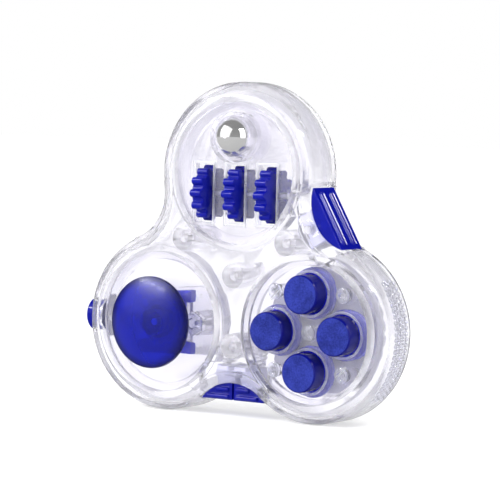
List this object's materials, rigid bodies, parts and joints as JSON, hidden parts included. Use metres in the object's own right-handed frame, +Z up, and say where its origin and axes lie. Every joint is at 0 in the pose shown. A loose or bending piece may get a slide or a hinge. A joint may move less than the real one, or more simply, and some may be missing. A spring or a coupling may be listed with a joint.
{
  "type": "three-lobed fidget pad",
  "caption": "Clear three-lobed hand fidget pad with a rolling steel ball, toothed wheels, sliding thumb cap, push buttons, rocker, valley keys and a spinning back dial.",
  "frame": {"origin": "centre of the flat back face, at the middle of the three-lobed outline", "axes": "+Z up towards the top lobe, +X to the right as seen from the front, +Y out of the back face, so the front faces -Y"},
  "size_m": [0.0859, 0.0204, 0.0774],
  "materials": {
    "clear_plastic": "polished clear moulded plastic, faintly lilac",
    "blue_plastic": "royal blue moulded plastic, satin faces and glossy sides",
    "blue_translucent": "translucent royal blue plastic, satin",
    "milky_silicone": "soft milky silicone",
    "dark_rubber": "matt dark rubber",
    "polished_steel": "mirror-polished steel",
    "zinc_steel": "zinc-plated steel"
  },
  "bodies": {
    "casing": {"front_shell": "clear_plastic", "back_shell": "clear_plastic", "case_pins": "clear_plastic", "gear_panel": "clear_plastic", "gear_axle": "zinc_steel", "ball_cup": "clear_plastic", "joystick_panel": "clear_plastic", "joystick_retainer": "clear_plastic", "retainer_screws": "zinc_steel", "side_button_spring": "zinc_steel", "button_panel": "clear_plastic", "button_membrane": "milky_silicone", "button_backplate": "clear_plastic", "dial_screw": "zinc_steel", "rocker_pin": "zinc_steel", "rocker_spring": "zinc_steel", "key_springs": "zinc_steel"},
    "ball": {"steel_ball": "polished_steel"},
    "wheel_left": {"gear_left": "blue_plastic"},
    "wheel_middle": {"gear_middle": "blue_plastic"},
    "wheel_right": {"gear_right": "blue_plastic"},
    "stick_carriage": {"joystick_carriage": "clear_plastic"},
    "stick": {"joystick_cap": "blue_translucent", "stem_ring": "dark_rubber", "joystick_slider": "blue_plastic", "joystick_screw": "zinc_steel"},
    "side_key": {"side_button": "blue_plastic"},
    "button_top": {"button_top": "blue_plastic"},
    "button_left": {"button_left": "blue_plastic"},
    "button_right": {"button_right": "blue_plastic"},
    "button_bottom": {"button_bottom": "blue_plastic"},
    "dial": {"spin_dial": "blue_plastic"},
    "rocker": {"flip_rocker": "blue_plastic"},
    "key_left": {"left_key": "blue_plastic"},
    "key_right": {"right_key": "blue_plastic"}
  },
  "joints": [
    {"name": "ball_roll", "type": "hinge", "parent": "casing", "child": "ball", "pos_m": [0, -0.0133, 0.03194], "axis": [1, 0, 0], "continuous": true},
    {"name": "wheel_left_spin", "type": "hinge", "parent": "casing", "child": "wheel_left", "pos_m": [-0.0087, -0.0106, 0.01878], "axis": [1, 0, 0], "continuous": true},
    {"name": "wheel_middle_spin", "type": "hinge", "parent": "casing", "child": "wheel_middle", "pos_m": [0, -0.0106, 0.01878], "axis": [1, 0, 0], "continuous": true},
    {"name": "wheel_right_spin", "type": "hinge", "parent": "casing", "child": "wheel_right", "pos_m": [0.0087, -0.0106, 0.01878], "axis": [1, 0, 0], "continuous": true},
    {"name": "stick_side", "type": "slide", "parent": "casing", "child": "stick_carriage", "axis": [1, 0, 0], "range_m": [-0.0015, 0.0015], "stiffness_N_per_m": 400},
    {"name": "stick_up", "type": "slide", "parent": "stick_carriage", "child": "stick", "axis": [0, 0, 1], "range_m": [-0.0015, 0.0015], "stiffness_N_per_m": 400},
    {"name": "side_button_press", "type": "slide", "parent": "casing", "child": "side_key", "axis": [1, 0, 0], "range_m": [0, 0.0009], "stiffness_N_per_m": 800, "deforming": ["side_button_spring"]},
    {"name": "button_top_press", "type": "slide", "parent": "casing", "child": "button_top", "axis": [0, 1, 0], "range_m": [0, 0.0015], "stiffness_N_per_m": 700, "deforming": ["button_membrane"]},
    {"name": "button_left_press", "type": "slide", "parent": "casing", "child": "button_left", "axis": [0, 1, 0], "range_m": [0, 0.0015], "stiffness_N_per_m": 700, "deforming": ["button_membrane"]},
    {"name": "button_right_press", "type": "slide", "parent": "casing", "child": "button_right", "axis": [0, 1, 0], "range_m": [0, 0.0015], "stiffness_N_per_m": 700, "deforming": ["button_membrane"]},
    {"name": "button_bottom_press", "type": "slide", "parent": "casing", "child": "button_bottom", "axis": [0, 1, 0], "range_m": [0, 0.0015], "stiffness_N_per_m": 700, "deforming": ["button_membrane"]},
    {"name": "dial_spin", "type": "hinge", "parent": "casing", "child": "dial", "pos_m": [0.02046, -0.0014, -0.01181], "axis": [0, 1, 0], "continuous": true},
    {"name": "rocker_flip", "type": "hinge", "parent": "casing", "child": "rocker", "pos_m": [0.01974, -0.008, 0.0114], "axis": [0, 1, 0], "range_deg": [-4, 4], "stiffness_Nm_per_rad": 0.3},
    {"name": "left_key_press", "type": "slide", "parent": "casing", "child": "key_left", "axis": [0, 0, 1], "range_m": [0, 0.0012], "stiffness_N_per_m": 1200, "deforming": ["key_springs"]},
    {"name": "right_key_press", "type": "slide", "parent": "casing", "child": "key_right", "axis": [0, 0, 1], "range_m": [0, 0.0012], "stiffness_N_per_m": 1200, "deforming": ["key_springs"]}
  ]
}
